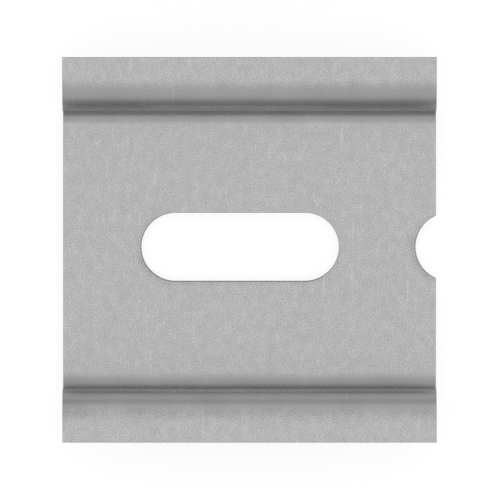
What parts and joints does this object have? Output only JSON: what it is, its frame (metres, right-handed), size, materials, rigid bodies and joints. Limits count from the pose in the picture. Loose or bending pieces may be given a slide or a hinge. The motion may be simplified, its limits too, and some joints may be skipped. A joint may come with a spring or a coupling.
{
  "type": "slotted din rail",
  "caption": "Short cut length of top-hat mounting rail, rolled from galvanised steel strip, slotted along its web for fixing screws, with flanges that clip-on devices hook behind.",
  "frame": {"origin": "middle of the mounting face, which is the back of the web, half way between the slit edges and between the two cuts", "axes": "+Y along the rail to the cut that falls inside a slot, +X across the section, +Z out of the mounting face towards the flange fronts"},
  "size_m": [0.035, 0.034, 0.0075],
  "materials": {
    "galvanised_steel": "dull zinc coat, finely speckled and softly mottled, with hair scratches across the strip"
  },
  "bodies": {
    "root": {"rail": "galvanised_steel"}
  },
  "joints": []
}
